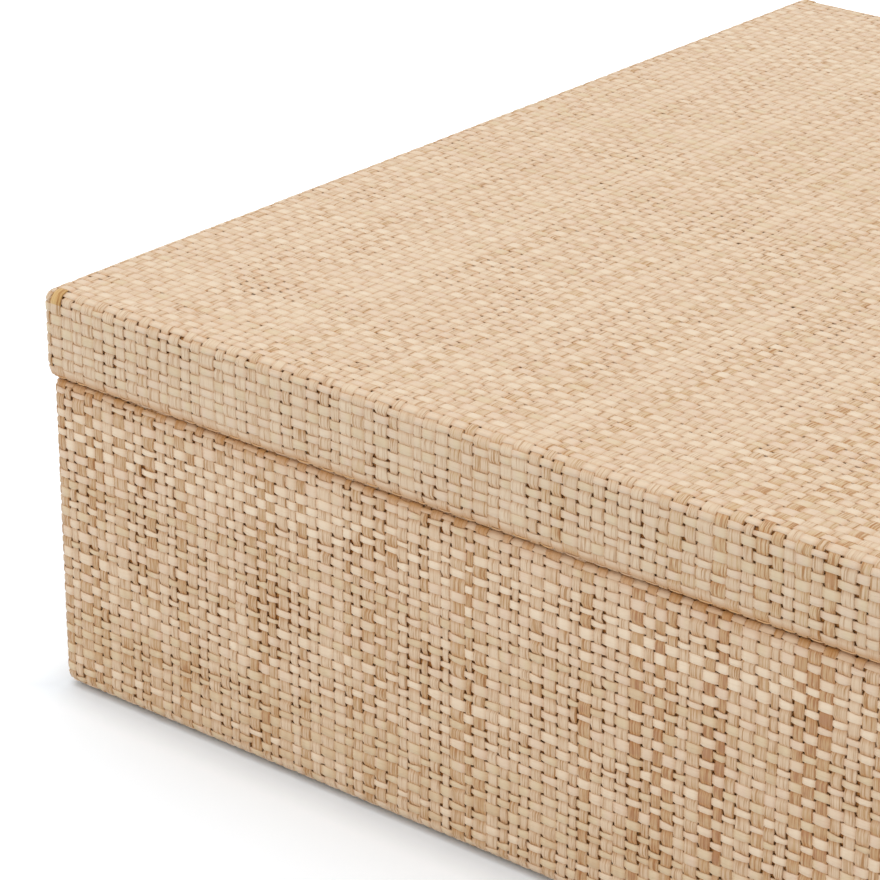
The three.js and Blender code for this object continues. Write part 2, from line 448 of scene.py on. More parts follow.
def roundedFront(halfX, halfY, sign):
    # Along the front (sign 1) or the back (sign -1), with the corner arcs at both ends
    stretches = [
        arcPoints((edge - halfX, edge - halfY), edge, 180, 270),
        [(edge - halfX, -halfY), (halfX - edge, -halfY)],
        arcPoints((halfX - edge, edge - halfY), edge, 270, 360),
    ]
    points, marks = tracedPath(stretches)
    return [(sign * x, sign * y) for x, y in points], marks


def basePlan():
    joint = clothSet["jointX"]
    gap = clothSet["jointGap"] / 2
    stretches = [
        [(joint - gap, baseY), (edge - baseX, baseY)],
        arcPoints((edge - baseX, baseY - edge), edge, 90, 180),
        [(-baseX, baseY - edge), (-baseX, edge - baseY)],
        arcPoints((edge - baseX, edge - baseY), edge, 180, 270),
        [(edge - baseX, -baseY), (baseX - edge, -baseY)],
        arcPoints((baseX - edge, edge - baseY), edge, 270, 360),
        [(baseX, edge - baseY), (baseX, baseY - edge)],
        arcPoints((baseX - edge, baseY - edge), edge, 0, 90),
        [(baseX - edge, baseY), (joint + gap, baseY)],
    ]
    return tracedPath(stretches)


# Woven strips

weaveInputs = {
    "Object": ["Plan", "Profile"],
    "Material": ["Material"],
    "Int": ["First strip", "Strips", "First cell", "Cells", "Strip seed", "Cell seed"],
    "Float": [
        "Plan shift", "Plan sign", "Profile shift", "Profile sign", "Along plan",
        "Strip start", "Strip pitch", "Strip jitter", "Cell start", "Cell pitch", "Cell jitter",
        "Over when", "Fill", "Pinch", "Pressed", "Rim side", "Tuck cell", "Tuck lift", "Lift",
        "Half thickness", "Depth", "Waver", "Corner X", "Corner Y", "Corner radius",
        "Low edge", "Low full", "Low most", "High edge", "High full", "High most",
        "Low clip", "Low slope", "High clip", "High slope", "Kind", "Band first", "Bands",
    ],
}
farOff = 9.0  # metres, where nothing is cut
noCell = 9999.0  # where no strip is folded over
weaveDefaults = {
    "Plan sign": 1.0, "Profile sign": 1.0, "Corner radius": edge, "Waver": 1.2 * mm,
    "Depth": 0.42 * mm, "Half thickness": 0.18 * mm, "Pressed": 0.62,
    "Tuck cell": noCell, "Tuck lift": 0.22 * mm,
    "Low edge": -farOff, "Low full": -farOff, "Low most": -farOff,
    "High edge": farOff, "High full": -farOff, "High most": farOff,
    "Low clip": -farOff, "Low slope": 0.0, "High clip": farOff, "High slope": 0.0,
}
stripSet = {
    "sides": 5,
    "edgeFrom": 0.9,  # sideways share past which a point lies on the edge
    "edgeDrop": 0.5,
    "flatFrom": 0.5,
    "flatBroad": 0.26,
    "firstRing": 0.24,  # places of the two rings on a crossing
    "ringStep": 0.52,
    "fullness": 1.04,
    "overFuller": 0.04,
    "broadRange": 0.07,
    "swayRange": 0.06,
    "springLow": 0.8,
    "springHigh": 1.08,
    "noisePerMetre": 45,
    "wanderLayer": 3.3,
    "thinStrip": 0.73,
    "thinKind": 9.1,
    "thinLayer": 2.7,
    "thinFrom": 0.43,
    "thinRate": 5,
    "thinEven": 0.45,
    "thinChance": 0.55,
    # painted shade along a strip's edges, as a share of the shade where it dips
    "edgeShade": 0.7,
    "idStep": 4096,
    "bandMargin": 0.04,  # in the map
    "endMargin": 0.002,
}
stripSeeds = {"pinch": 11, "sway": 12, "spring": 13, "tone": 5, "broad": 9}


def buildWeaveTree():
    tree = bpy.data.node_groups.new("raffiaWeave", "GeometryNodeTree")
    for kind, names in weaveInputs.items():
        for name in names:
            tree.interface.new_socket(name=name, in_out="INPUT", socket_type="NodeSocket" + kind)
    tree.interface.new_socket(name="Geometry", in_out="OUTPUT", socket_type="NodeSocketGeometry")
    g = Wire(tree)
    given = g.node("NodeGroupInput").other

    def chance(ident, seed, low=0.0, high=1.0):
        values = {2: low, 3: high, "ID": ident, "Seed": seed}
        return g.node("FunctionNodeRandomValue", {"data_type": "FLOAT"}, values, 1)

    def border(which, number):  # where one strip or crossing ends and the next begins
        shaken = chance(number, given(which + " seed")) - 0.5
        steps = number + given(which + " jitter") * shaken
        return given(which + " start") + given(which + " pitch") * steps

    def sampled(which, length):
        space = {"transform_space": "ORIGINAL"}
        path = g.node("GeometryNodeObjectInfo", space, {"Object": given(which)}, "Geometry")
        values = {"Curves": path, "Length": given(which + " shift") + given(which + " sign") * length}
        found = g.node("GeometryNodeSampleCurve", {"mode": "LENGTH"}, values, "Position")
        return found, found.other("Tangent")

    # One grid for each strip, which the fields below roll into a tube
    rings = given("Cells") * 2 + 2
    points = stripSet["sides"] + 1
    sizes = {"Size X": 1.0, "Size Y": 1.0, "Vertices X": points, "Vertices Y": rings}
    grid = g.node("GeometryNodeMeshGrid", None, sizes)
    line = g.node("GeometryNodeMeshLine", {"mode": "OFFSET"}, {"Count": given("Strips")})
    copies = g.node("GeometryNodeInstanceOnPoints", None, {"Points": line, "Instance": grid})
    strips = g.node("GeometryNodeRealizeInstances", None, {"Geometry": copies})

    index = g.node("GeometryNodeInputIndex")
    order = (index / (rings * points)).floor()
    inStrip = index - order * (rings * points)
    corner = (inStrip / rings).floor()
    ring = inStrip - corner * rings
    strip = given("First strip") + order
    angle = corner * (2 * math.pi / stripSet["sides"]) - math.pi / 2
    sideways = angle.maths("COSINE", angle) / math.cos(math.pi / (2 * stripSet["sides"]))
    onEdge = abs(sideways) > stripSet["edgeFrom"]
    rise = angle.maths("SINE", angle) + onEdge * -stripSet["edgeDrop"]  # flat on top, thin at the edges
    across = sideways * (1 + (rise > stripSet["flatFrom"]) * stripSet["flatBroad"])

    # Two rings on each crossing, and one that closes each end
    pair = ((ring - 1) / 2).floor().atLeast(0.0).atMost(given("Cells") - 1)
    step = ring - 1 - pair * 2
    cell = given("First cell") + pair
    part = (step * stripSet["ringStep"] + stripSet["firstRing"]).atLeast(0.0).atMost(1.0)
    isOpen = abs(step - 0.5) < 0.6  # all rings but those at the ends
    ident = strip * stripSet["idStep"] + cell
    pinch = chance(ident * 2 + step, stripSeeds["pinch"])
    odd = strip + cell + given("Over when")
    woven = 1 - odd.maths("FLOORED_MODULO", odd, 2.0) * 2
    tucked = abs(abs(cell + 0.5) - given("Tuck cell")) < 1.0  # a strip folded over the edge
    over = woven + tucked * (1 - woven)
    broadMost, swayMost = stripSet["broadRange"], stripSet["swayRange"]
    broad = chance(strip, given("Strip seed") + stripSeeds["broad"], -broadMost, broadMost)
    cellLow = border("Cell", cell)
    run = cellLow + (border("Cell", cell + 1) - cellLow) * part
    # A strip narrows for a while, and leaves holes beside it
    perMetre = stripSet["noisePerMetre"]
    thinLayer = given("Kind") * stripSet["thinKind"] + stripSet["thinLayer"]
    leaf = noised(g, joined(g, strip * stripSet["thinStrip"], run * perMetre, thinLayer), 1.0)
    thin = ((leaf - stripSet["thinFrom"]) * stripSet["thinRate"]).atLeast(0.0).atMost(1.0)
    narrowed = thin * (pinch * stripSet["thinChance"] + stripSet["thinEven"]) * given("Pinch")
    fullness = stripSet["fullness"] + broad - narrowed + over * stripSet["overFuller"]
    sway = chance(ident, stripSeeds["sway"], -swayMost, swayMost)
    spring = chance(ident, stripSeeds["spring"], stripSet["springLow"], stripSet["springHigh"])

    stripLow = border("Strip", strip)
    width = border("Strip", strip + 1) - stripLow
    half = width * 0.5 * given("Fill") * fullness * isOpen
    along = given("Along plan")
    handed = given("Plan sign") * given("Profile sign") * (along * 2 - 1)
    spread = stripLow + width * (sway + 0.5) + handed * across * half
    flatU = spread + along * (run - spread)
    flatV = run + along * (spread - run)
    wander = noised(g, joined(g, flatU * perMetre, flatV * perMetre, stripSet["wanderLayer"]), 1.0)
    wanderU, wanderV, spare = wander.other("Color").parts()
    u = flatU + (wanderU - 0.5) * given("Waver")
    v = flatV + (wanderV - 0.5) * given("Waver")

    # Turned cloth ends on the diagonal of each corner
    placed, spare = sampled("Plan", u)
    farX, farY, spare = placed.parts()
    fromCorner = (given("Corner X") - abs(farX)).atLeast(given("Corner Y") - abs(farY)) - mitreGap
    past = (fromCorner - given("Corner radius")).atLeast(0.0)
    highCut = (given("High edge") + past).atMost(given("High most"))
    high = given("High most") + (fromCorner < given("High full")) * (highCut - given("High most"))
    lowCut = (given("Low edge") - past).atLeast(given("Low most"))
    low = given("Low most") + (fromCorner < given("Low full")) * (lowCut - given("Low most"))
    heldV = v.atLeast(low).atMost(high)
    profile, profileTangent = sampled("Profile", heldV)
    out, spare, height = profile.parts()
    outTangent, spare, upTangent = profileTangent.parts()
    lowClip = given("Low clip") - given("Low slope") * out
    highClip = given("High clip") + given("High slope") * out
    heldU = u.atLeast(lowClip).atMost(highClip)
    plan, planTangent = sampled("Plan", heldU)
    planX, planY, spare = plan.parts()
    tangentX, tangentY, spare = planTangent.parts()

    free = (abs(v - heldV).atLeast(abs(u - heldU))) < closeness["held"]
    fromRim = (outTangent * given("Rim side") * -1).atLeast(0.0)
    pressed = 1 - fromRim * given("Pressed")  # flatter on the top
    lifted = given("Lift") * over * spring * free * pressed + tucked * given("Tuck lift")
    proud = lifted + rise * given("Half thickness") * isOpen - given("Depth")
    reach = out + proud * upTangent
    place = joined(g, planX + tangentY * reach, planY - tangentX * reach, height - proud * outTangent)
    shaped = g.node("GeometryNodeSetPosition", None, {"Geometry": strips, "Position": place})

    def stored(geometry, name, kind, domain, value):
        settings = {"data_type": kind, "domain": domain}
        values = {"Geometry": geometry, "Name": name, "Value": value}
        return g.node("GeometryNodeStoreNamedAttribute", settings, values)

    towardsRim = (outTangent * given("Rim side")).atLeast(0.0)
    shadePainted = towardsRim * towardsRim * (1 - towardsRim) * (27 / 4)  # painted shade for the groove of the seam, 1 at most, on the edge beside the rim
    # Painted shade: 1 where a strip passes under the one it crosses, and part of that along each strip's
    # edges
    under = (0.5 - over * 0.5).atLeast(onEdge * stripSet["edgeShade"])
    paintedShade = under.atLeast(shadePainted * raffiaLook["seamShadeMost"])
    strand = joined(g, across * half, run, paintedShade)
    kind = given("Kind") + tucked * (2 - given("Kind"))
    tone = joined(g, strip, chance(strip, given("Strip seed") + stripSeeds["tone"]), kind)
    shaped = stored(shaped, "strand", "FLOAT_VECTOR", "POINT", strand)
    shaped = stored(shaped, "tone", "FLOAT_VECTOR", "POINT", tone)
    # Each strip unrolled into its own band of the map
    keptTone = g.node("GeometryNodeInputNamedAttribute", {"data_type": "FLOAT_VECTOR"}, {"Name": "tone"})
    keptStrip, spare, spare = keptTone.parts()
    mapAcross, mapAlong, spare = grid.other("UV Map").parts()
    bandMargin, endMargin = stripSet["bandMargin"], stripSet["endMargin"]
    inBand = mapAcross * (1 - 2 * bandMargin) + bandMargin
    band = given("Band first") + keptStrip - given("First strip") + inBand
    alongBand = mapAlong * (1 - 2 * endMargin) + endMargin
    unrolled = joined(g, alongBand, band / given("Bands"), 0.0)
    shaped = stored(shaped, "OFBake", "FLOAT2", "CORNER", unrolled)
    merging = {"Geometry": shaped, "Distance": closeness["merged"]}
    closed = g.node("GeometryNodeMergeByDistance", None, merging)
    smooth = g.node("GeometryNodeSetShadeSmooth", None, {"Geometry": closed})
    whole = g.node("GeometryNodeRealizeInstances", None, {"Geometry": smooth})
    finished = g.node("GeometryNodeSetMaterial", None, {"Geometry": whole, "Material": given("Material")})
    g.node("NodeGroupOutput", None, {"Geometry": finished})
    return tree


weaveTree = buildWeaveTree()
weaveSockets = {item.name: item for item in weaveTree.interface.items_tree if item.in_out == "INPUT"}
print("weave tree built,", len(weaveTree.nodes), "nodes")


def weaveFamily(name, values):
    # One run of strips, as a plain mesh
    strips = bpy.data.objects.new(name, bpy.data.meshes.new(name))
    modifier = strips.modifiers.new("weave", "NODES")
    modifier.node_group = weaveTree
    for key, value in {**weaveDefaults, **values}.items():
        socket = weaveSockets[key]
        if socket.socket_type == "NodeSocketFloat":
            value = float(value)
        modifier[socket.identifier] = value
    scene.collection.objects.link(strips)
    graph = bpy.context.evaluated_depsgraph_get()
    shown = strips.evaluated_get(graph)
    mesh = bpy.data.meshes.new_from_object(shown, preserve_all_data_layers=True, depsgraph=graph)
    strips.modifiers.remove(modifier)
    blank = strips.data
    strips.data = mesh
    bpy.data.meshes.remove(blank)
    return strips


def weavePiece(name, body, families):
    # Joins the families of one piece, each in its own bands of the map
    bands = sum(values["Strips"] for values in families)
    first = 0
    runs = []
    for number, values in enumerate(families):
        ranged = {**values, "Band first": first, "Bands": bands}
        runs.append(weaveFamily(name if number == 0 else name + "_more", ranged))
        first += values["Strips"]
    piece = runs[0]
    if len(runs) > 1:
        chosen = {"active_object": piece, "selected_editable_objects": runs, "selected_objects": runs}
        with bpy.context.temp_override(**chosen):
            bpy.ops.object.join()
    piece.data.name = name
    made = bmesh.new()
    made.from_mesh(piece.data)
    # Where the diagonals cut strips off
    bmesh.ops.dissolve_degenerate(made, dist=closeness["sliver"], edges=made.edges)
    made.to_mesh(piece.data)
    made.free()
    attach(piece, body)
    print(name, len(piece.data.polygons), "faces")
    return piece


def sidePaths(halfX, halfY):
    # The four sides as straight lines, each running the same way round
    turns = {"front": (-1, -1, 1, -1), "right": (1, -1, 1, 1), "back": (1, 1, -1, 1), "left": (-1, 1, -1, -1)}
    paths = {}
    for side, (startX, startY, endX, endY) in turns.items():
        ends = [(startX * halfX, startY * halfY), (endX * halfX, endY * halfY)]
        paths[side] = pathObject(side, ends, False)
    return paths


def crossed(strips, cells):
    # Inputs for one set of strips, and for the set that it crosses
    named = {"Strip " + key: value for key, value in strips.items()}
    named.update({"Cell " + key: value for key, value in cells.items()})
    return named


def stripKind(settings, which):
    # Inputs that all warps of a cloth share, or all wefts
    return {
        "Kind": 1.0 if which == "warp" else 0.0,
        "Over when": 0 if which == "warp" else 1,
        "Fill": settings[which + "Fill"],
        "Lift": settings[which + "Lift"],
        "Pinch": settings[which + "Pinch"],
    }


# Lid cloth: warps run front to back, wefts from side to side, both over the edges and into the rim

lidWeave = {
    "warpsEachSide": 59,
    "weftsEachSide": 58,
    "warpJitter": 0.42,
    "weftJitter": 0.22,
    "warpFill": 1.03,
    "weftFill": 0.88,
    "topFill": 0.98,  # of the wefts that cross the top
    "topPinch": 0.24,
    "warpPinch": 0.42,
    "weftPinch": 0.36,
    "warpLift": 0.19 * mm,
    "weftLift": 0.22 * mm,
    "arcCells": 2,  # round a corner
    "seed": 21,
}


def makeLidWeave():
    flatX, flatY = lidX - edge, lidY - edge
    crossY, marksY = lidCrossProfile(lidY)
    crossX, marksX = lidCrossProfile(lidX)
    halfY, halfX = marksY[-1] / 2, marksX[-1] / 2
    rimY, rimX = halfY - marksY[2], halfX - marksX[2]  # from the middle to the edge of the rim
    roundFront, roundMarks = roundedFront(lidX, lidY, 1)
    roundBack, spare = roundedFront(lidX, lidY, -1)
    roundHalf = roundMarks[-1] / 2
    paths = {
        "crossY": pathObject("crossY", crossY, True),
        "crossX": pathObject("crossX", crossX, True),
        "roundFront": pathObject("roundFront", roundFront, False),
        "roundBack": pathObject("roundBack", roundBack, False),
        **sidePaths(lidX, lidY),
    }
    warps, wefts = lidWeave["warpsEachSide"], lidWeave["weftsEachSide"]
    warpPitch, weftPitch = flatX / warps, flatY / wefts
    warpSet = {"pitch": warpPitch, "jitter": lidWeave["warpJitter"], "seed": lidWeave["seed"]}
    weftSet = {"pitch": weftPitch, "jitter": lidWeave["weftJitter"], "seed": lidWeave["seed"] + 1}
    reachY = math.ceil(halfY / weftPitch)  # crossings from the middle to the end of the turned cloth
    reachX = math.ceil(halfX / warpPitch)
    outerRows = math.ceil((rimY - flatY) / weftPitch)
    arcCells = lidWeave["arcCells"]
    full = clothSet["lidTurnInset"] + clothSet["turnSlack"]
    shared = {"Corner X": lidX, "Corner Y": lidY, "Rim side": 1, "Along plan": 0, "Material": lidRaffia}
    warpShared = {**shared, **stripKind(lidWeave, "warp"), **crossed(warpSet, weftSet)}
    weftShared = {**shared, **stripKind(lidWeave, "weft"), **crossed(weftSet, warpSet)}

    def asWarp(first, count, firstCell, cells):
        counts = {"First strip": first, "Strips": count, "First cell": firstCell, "Cells": cells}
        return {**warpShared, **counts}

    def asWeft(first, count, firstCell, cells):
        counts = {"First strip": first, "Strips": count, "First cell": firstCell, "Cells": cells}
        return {**weftShared, **counts}

    def mitred(half):  # cut on the diagonal at both ends
        reach = half - mitreGap
        return {"Low clip": -reach, "Low slope": 1, "High clip": reach, "High slope": 1}

    warpOver = {
        "Plan": paths["front"], "Plan shift": lidX, "Profile": paths["crossY"], "Profile shift": halfY,
        "Low edge": -rimY, "Low full": full, "Low most": -halfY,
        "High edge": rimY, "High full": full, "High most": halfY,
    }
    weftOver = {
        "Plan": paths["left"], "Plan shift": lidY, "Plan sign": -1,
        "Profile": paths["crossX"], "Profile shift": halfX,
        "Fill": lidWeave["topFill"], "Pinch": lidWeave["topPinch"],
        "Low edge": -rimX, "Low full": full, "Low most": -halfX,
        "High edge": rimX, "High full": full, "High most": halfX,
    }
    pieces = []
    for side, first, corner in (("left", -warps + 1, -warps), ("right", 0, warps - 1)):
        family = {**asWarp(first, warps - 1, -reachY, 2 * reachY), **warpOver}
        last = {**asWarp(corner, 1, -reachY, 2 * reachY), **warpOver, "Tuck cell": wefts + 1}
        pieces.append(weavePiece("lid_" + side + "_warps", "lid", [family, last]))
    for side, first in (("front", -wefts), ("back", 0)):
        family = {**asWeft(first, wefts, -reachX, 2 * reachX), **weftOver}
        pieces.append(weavePiece("lid_" + side + "_wefts", "lid", [family]))

    # Rows down the front and back, round the corners, with the strips that stand on the corners
    corners = {"Low clip": -roundHalf, "High clip": roundHalf}
    rows, rimRows, ends = [], [], []
    for sign, curve, straight in ((1, "roundFront", "front"), (-1, "roundBack", "back")):
        first = -wefts - outerRows if sign == 1 else wefts
        signs = {"Plan sign": sign, "Profile sign": sign, "Profile": paths["crossY"], "Profile shift": halfY}
        curved = {**signs, **corners, "Plan": paths[curve], "Plan shift": roundHalf}
        family = asWeft(first, outerRows, -warps - arcCells, 2 * (warps + arcCells))
        rows.append({**family, **curved, "Along plan": 1})
        for strip in (-warps - arcCells, warps):
            rows.append({**asWarp(strip, arcCells, first, outerRows), **curved})
        inner = reachY - wefts - outerRows
        firstInner = -reachY if sign == 1 else wefts + outerRows
        flat = {**signs, **mitred(lidX), "Plan": paths[straight], "Plan shift": lidX}
        flat.update({"Low most": -halfY, "High most": halfY, "Along plan": 1})
        rimRows.append({**asWeft(firstInner, inner, -warps - 1, 2 * (warps + 1)), **flat})
    for sign, straight in ((1, "left"), (-1, "right")):
        first = -reachX if sign == 1 else warps
        family = {**asWarp(first, reachX - warps, -wefts, 2 * wefts), **mitred(lidY), "Along plan": 1}
        family.update({"Plan": paths[straight], "Plan shift": lidY, "Plan sign": -sign})
        family.update({"Profile": paths["crossX"], "Profile shift": halfX, "Profile sign": sign})
        family.update({"Low most": -halfX, "High most": halfX})
        ends.append(family)
    pieces.append(weavePiece("lid_edge_rows", "lid", rows))
    pieces.append(weavePiece("lid_rim_rows", "lid", rimRows))
    pieces.append(weavePiece("lid_end_rows", "lid", ends))
    for path in paths.values():
        bpy.data.objects.remove(path)
    return pieces, (marksX[-1], marksY[-1], rimX - flatX + marksX[2])


lidStrips, lidCut = makeLidWeave()
print("lid woven, cloth cut", [round(value / mm, 1) for value in lidCut])


# Base cloth: one strip of cloth round the base, its warps upright, turned in over the rim and under the floor

baseWeave = {
    "uprights": 448,
    "rows": 32,
    "warpJitter": 0.42,
    "weftJitter": 0.22,
    "warpFill": 0.97,
    "weftFill": 0.92,
    "warpPinch": 0.38,
    "weftPinch": 0.58,
    "warpLift": 0.19 * mm,
    "weftLift": 0.22 * mm,
    "seed": 44,
}


def makeBaseWeave():
    planPoints, planMarks = basePlan()
    profilePoints, profileMarks = tracedPath(baseProfileStretches())
    footEdge, seamShade, profileEnd = profileMarks[0], profileMarks[3], profileMarks[-1]
    warpPitch = planMarks[-1] / (baseWeave["uprights"] - 0.5)
    warpStart = -warpPitch / 4  # the joint cuts the first and last uprights
    weftPitch = (seamShade - footEdge) / baseWeave["rows"]
    under = math.ceil(footEdge / weftPitch)
    inside = math.ceil((profileEnd - seamShade) / weftPitch)
    allRows = under + baseWeave["rows"] + inside
    paths = {
        "plan": pathObject("plan", planPoints, False),
        "profile": pathObject("profile", profilePoints, True),
        **sidePaths(baseX, baseY),
    }
    warpSet = {"pitch": warpPitch, "jitter": baseWeave["warpJitter"], "seed": baseWeave["seed"]}
    weftSet = {"pitch": weftPitch, "jitter": baseWeave["weftJitter"], "seed": baseWeave["seed"] + 1}
    warpSet["start"], weftSet["start"] = warpStart, footEdge
    shared = {
        "Plan": paths["plan"], "Low clip": 0.0, "High clip": planMarks[-1],
        "Profile": paths["profile"], "Low most": 0.0, "High most": profileEnd,
        "Corner X": baseX, "Corner Y": baseY, "Rim side": -1, "Material": baseRaffia,
    }
    full = clothSet["baseTurnInset"] + clothSet["turnSlack"]
    upright = {
        **shared, **stripKind(baseWeave, "warp"), **crossed(warpSet, weftSet),
        "Along plan": 0, "First cell": -under, "Cells": allRows,
        "Low edge": footEdge, "Low full": farOff, "High edge": seamShade, "High full": full,
    }
    row = {
        **shared, **stripKind(baseWeave, "weft"), **crossed(weftSet, warpSet),
        "Along plan": 1, "First cell": 0, "Cells": baseWeave["uprights"],
    }
    pieces = []
    # Uprights, side by side; the corners go with the sides
    ends = [0.0] + [(planMarks[i - 1] + planMarks[i]) / 2 for i in (1, 3, 5, 7)] + [planMarks[-1]]
    cuts = [round((end - warpStart) / warpPitch) for end in ends]
    families = {"back": [(cuts[0], cuts[1]), (cuts[4], cuts[5])], "left": [(cuts[1], cuts[2])]}
    families.update({"front": [(cuts[2], cuts[3])], "right": [(cuts[3], cuts[4])]})
    for side, spans in families.items():
        group = [{**upright, "First strip": low, "Strips": high - low} for low, high in spans]
        pieces.append(weavePiece("base_" + side + "_uprights", "base", group))
    halfRows = baseWeave["rows"] // 2
    for name, first in (("base_lower_rows", 0), ("base_upper_rows", halfRows)):
        pieces.append(weavePiece(name, "base", [{**row, "First strip": first, "Strips": halfRows}]))

    # Turned cloth: straight rows on each side, cut on the diagonal at the corners
    sides = [
        ("back", 0.0, planMarks[0], baseX - clothSet["jointX"] + clothSet["jointGap"] / 2, 0),
        ("left", planMarks[1], planMarks[2], edge, 1),
        ("front", planMarks[3], planMarks[4], edge, 2),
        ("right", planMarks[5], planMarks[6], edge, 3),
        ("back", planMarks[7], planMarks[8], edge, 4),
    ]
    rimRows, underRows = [], []
    for side, low, high, start, number in sides:
        ends = {"Low clip": low, "Low slope": 0, "High clip": high, "High slope": 0}
        if number != 0:
            ends.update({"Low clip": low - edge + mitreGap, "Low slope": 1})
        if number != 4:
            ends.update({"High clip": high + edge - mitreGap, "High slope": 1})
        firstCell = math.floor((ends["Low clip"] - warpStart) / warpPitch)
        lastCell = math.ceil((ends["High clip"] - warpStart) / warpPitch)
        turned = {
            **row, **ends, "Plan": paths[side], "Plan shift": start - low,
            "First cell": firstCell, "Cells": lastCell - firstCell,
        }
        rimRows.append({**turned, "First strip": baseWeave["rows"], "Strips": inside})
        underRows.append({**turned, "First strip": -under, "Strips": under})
    pieces.append(weavePiece("base_rim_rows", "base", rimRows))
    pieces.append(weavePiece("base_under_rows", "base", underRows))
    for path in paths.values():
        bpy.data.objects.remove(path)
    return pieces, (planMarks[-1], profileEnd)


baseStrips, baseCut = makeBaseWeave()
print("base woven, cloth cut", [round(value / mm, 1) for value in baseCut])


# Backing under the strips, which shows as the dark of the gaps

backingSet = {"face": 0.92 * mm, "glued": 1.40 * mm, "cornerSteps": 4}


def roundedLoop(halfX, halfY, radius, steps):
    points = []
    for quarter, (signX, signY) in enumerate(((1, 1), (-1, 1), (-1, -1), (1, -1))):
        centre = (signX * (halfX - radius), signY * (halfY - radius))
        points += arcPoints(centre, radius, 90 * quarter, 90 * quarter + 90, steps)
    return points


def ringFaces(across, joins):
    # Quads between pairs of rings
    faces = []
    for k, following in joins:
        for j in range(across):
            n = (j + 1) % across
            faces.append((k * across + j, k * across + n, following * across + n, following * across + j))
    return faces


def offsetProfile(points, depth):
    moved = []
    for number, (out, height) in enumerate(points):
        before = points[max(number - 1, 0)]
        after = points[min(number + 1, len(points) - 1)]
        run, climb = after[0] - before[0], after[1] - before[1]
        length = math.hypot(run, climb)
        moved.append((out - depth * climb / length, height + depth * run / length))
    return moved


def meshPiece(name, points, faces, material):
    mesh = bpy.data.meshes.new(name)
    mesh.from_pydata(points, [], faces)
    made = bmesh.new()
    made.from_mesh(mesh)
    bmesh.ops.remove_doubles(made, verts=made.verts, dist=closeness["welded"])
    bmesh.ops.recalc_face_normals(made, faces=made.faces)
    made.to_mesh(mesh)
    made.free()
    mesh.materials.append(material)
    piece = bpy.data.objects.new(name, mesh)
    scene.collection.objects.link(piece)
    return piece


def clothShell(name, halfX, halfY, stretches, topped):
    outline = guarded(tracedPath(stretches)[0])
    face = offsetProfile(outline, backingSet["face"])
    glued = offsetProfile(outline, backingSet["glued"])
    ring = face + glued[::-1]
    points, faces = [], []
    for out, height in ring:
        loop = roundedLoop(halfX + out, halfY + out, max(edge + out, 0.0), backingSet["cornerSteps"])
        points += [(x, y, height) for x, y in loop]
    across = len(points) // len(ring)
    joins = [(k, (k + 1) % len(ring)) for k in range(len(ring))]
    if topped:  # the two skins meet the flat of the top instead of each other
        joins.remove((len(face) - 1, len(face)))
        for k in (len(face) - 1, len(face)):
            faces.append(list(range(k * across, (k + 1) * across)))
    faces += ringFaces(across, joins)
    return meshPiece(name, points, faces, backing)


def makeBackings():
    lidShell = clothShell("lid_cloth_backing", lidX, lidY, lidSideProfile(), True)
    baseShell = clothShell("base_cloth_backing", baseX, baseY, baseProfileStretches(), False)
    for shell, body in ((lidShell, "lid"), (baseShell, "base")):
        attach(shell, body)
        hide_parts(body + "_raffia_wrap")
    cutX, cutY, flap = lidCut
    sheetArea = cutX * cutY - 4 * flap * flap


makeBackings()
print("backings made")


# Lined panels: card covered in fine cotton

liningLook = {
    "thread": 0.55 * mm,
    "pale": hue(238, 228, 210),
    "shade": hue(206, 190, 162),
    "slubLong": 0.06,
    "slubBroad": 0.8,
    "threadShare": 0.7,
    "slubShare": 0.3,
    "paleShare": 0.8,
    "edgeRadius": 0.75 * mm,
    "spacing": 8 * mm,
    "turnOver": 9 * mm,
}


def makeLiningMaterial(name, first, second):
    material, w = newMaterial(name)
    parts = dict(zip("XYZ", objectSpot(w).parts()))
    a = parts[first] / liningLook["thread"]
    b = parts[second] / liningLook["thread"]
    slubLong, slubBroad = liningLook["slubLong"], liningLook["slubBroad"]
    slubA = noised(w, joined(w, a * slubLong, b * slubBroad, 1.0))
    slubB = noised(w, joined(w, a * slubBroad, b * slubLong, 5.0))
    waveA = a.maths("SINE", a * math.pi)
    waveB = b.maths("SINE", b * math.pi)
    check = waveA * waveB
    threadA = abs(waveA.maths("COSINE", a * math.pi))
    threadB = abs(waveB.maths("COSINE", b * math.pi))
    weave = (check > 0.0) * threadA + (check < 0.0) * threadB
    height = weave * liningLook["threadShare"] + (slubA + slubB) * liningLook["slubShare"]
    # Painted shade: the cloth is paler where its threads and slubs stand high and darker where they sink,
    # from the same height as the bump
    paler = (height * liningLook["paleShare"]).atMost(1.0).atLeast(0.0)
    colour = blended(w, paler, liningLook["shade"], liningLook["pale"])
    surfaced(w, {"Base Color": colour, "Roughness": 0.9, "Normal": bumped(w, height, 0.5, 0.12 * mm)})
    return material


def spacedStops(low, high, radius, spacing):
    eased = [radius * (1 - math.cos(math.radians(step))) for step in (0, 30, 60)]
    inner = np.linspace(low + radius, high - radius, max(2, round((high - low) / spacing))).tolist()
    return [low + value for value in eased] + inner + [high - value for value in reversed(eased)]


